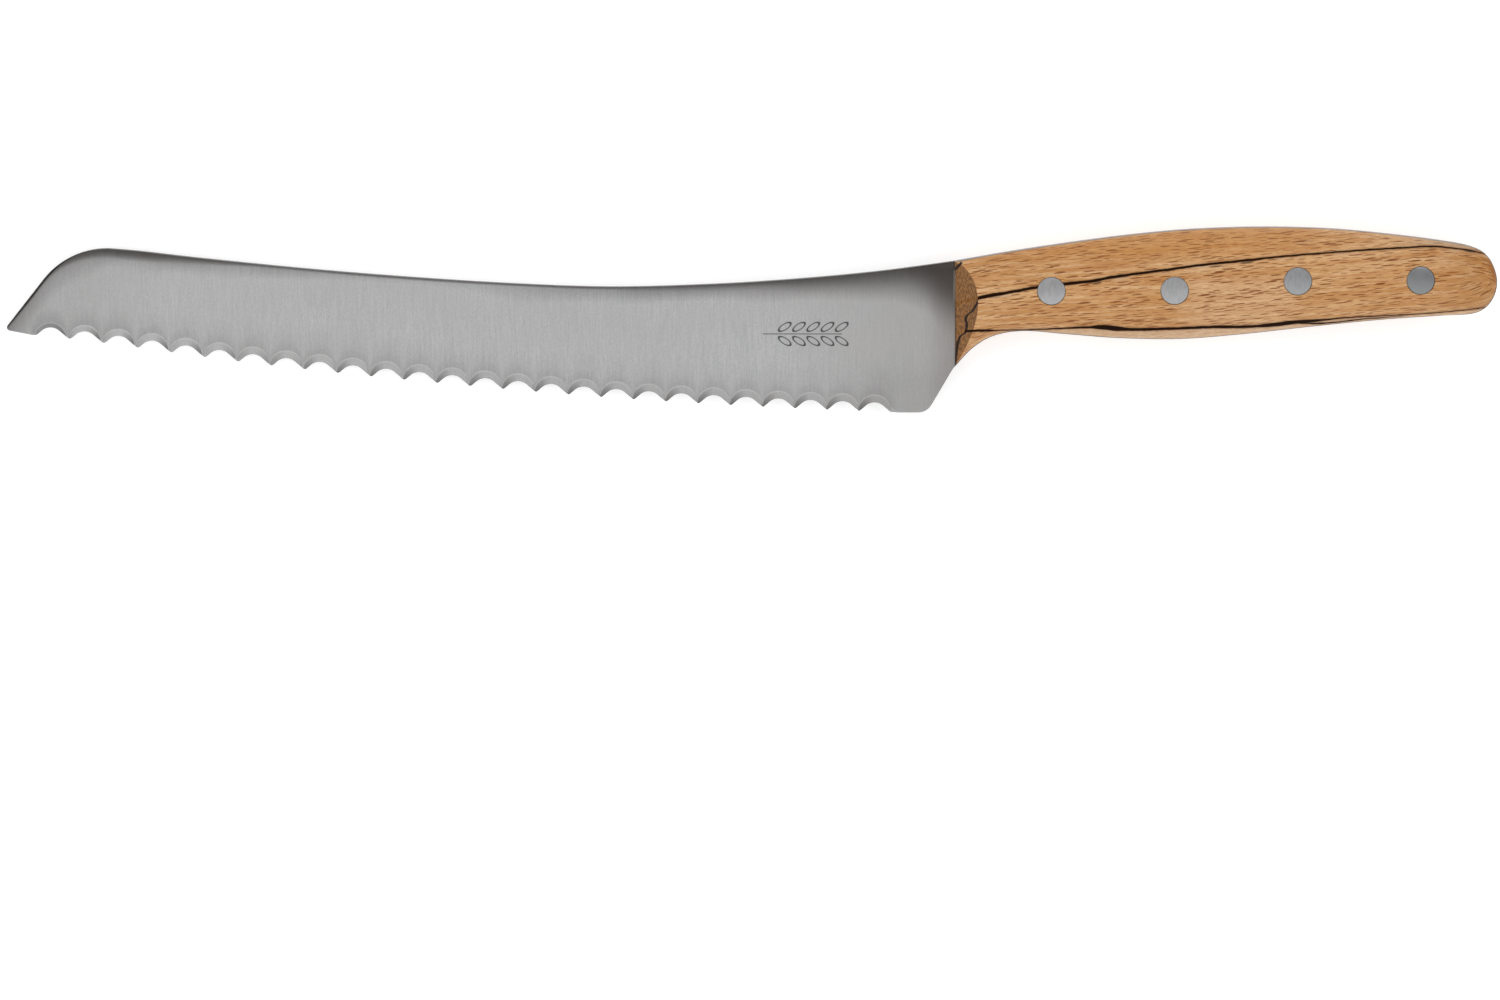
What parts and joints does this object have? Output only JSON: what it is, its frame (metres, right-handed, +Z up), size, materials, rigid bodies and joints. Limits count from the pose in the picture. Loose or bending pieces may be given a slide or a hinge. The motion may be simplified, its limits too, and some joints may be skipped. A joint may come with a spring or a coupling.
{
  "type": "bread knife",
  "caption": "Bread knife with a long scalloped steel blade, clipped tip, full tang, two spalted beech scales and flush rivets.",
  "frame": {"origin": "on the table under the middle of the knife's bounding box, with the knife lying as it rests", "axes": "+X from the tip to the butt, +Y towards the spine, +Z up, out of the blade's ground face"},
  "size_m": [0.345, 0.0432, 0.019],
  "materials": {
    "blade_steel": "fine cross-ground satin",
    "handle_wood": "oiled spalted beech",
    "rivet_metal": "brushed flush with the wood"
  },
  "bodies": {
    "root": {"blade_with_tang": "blade_steel", "scale_ground_side": "handle_wood", "scale_back_side": "handle_wood", "rivet_1_tube_half": "rivet_metal", "rivet_1_shank_half": "rivet_metal", "rivet_2_tube_half": "rivet_metal", "rivet_2_shank_half": "rivet_metal", "rivet_3_tube_half": "rivet_metal", "rivet_3_shank_half": "rivet_metal", "rivet_4_tube_half": "rivet_metal", "rivet_4_shank_half": "rivet_metal"}
  },
  "joints": []
}
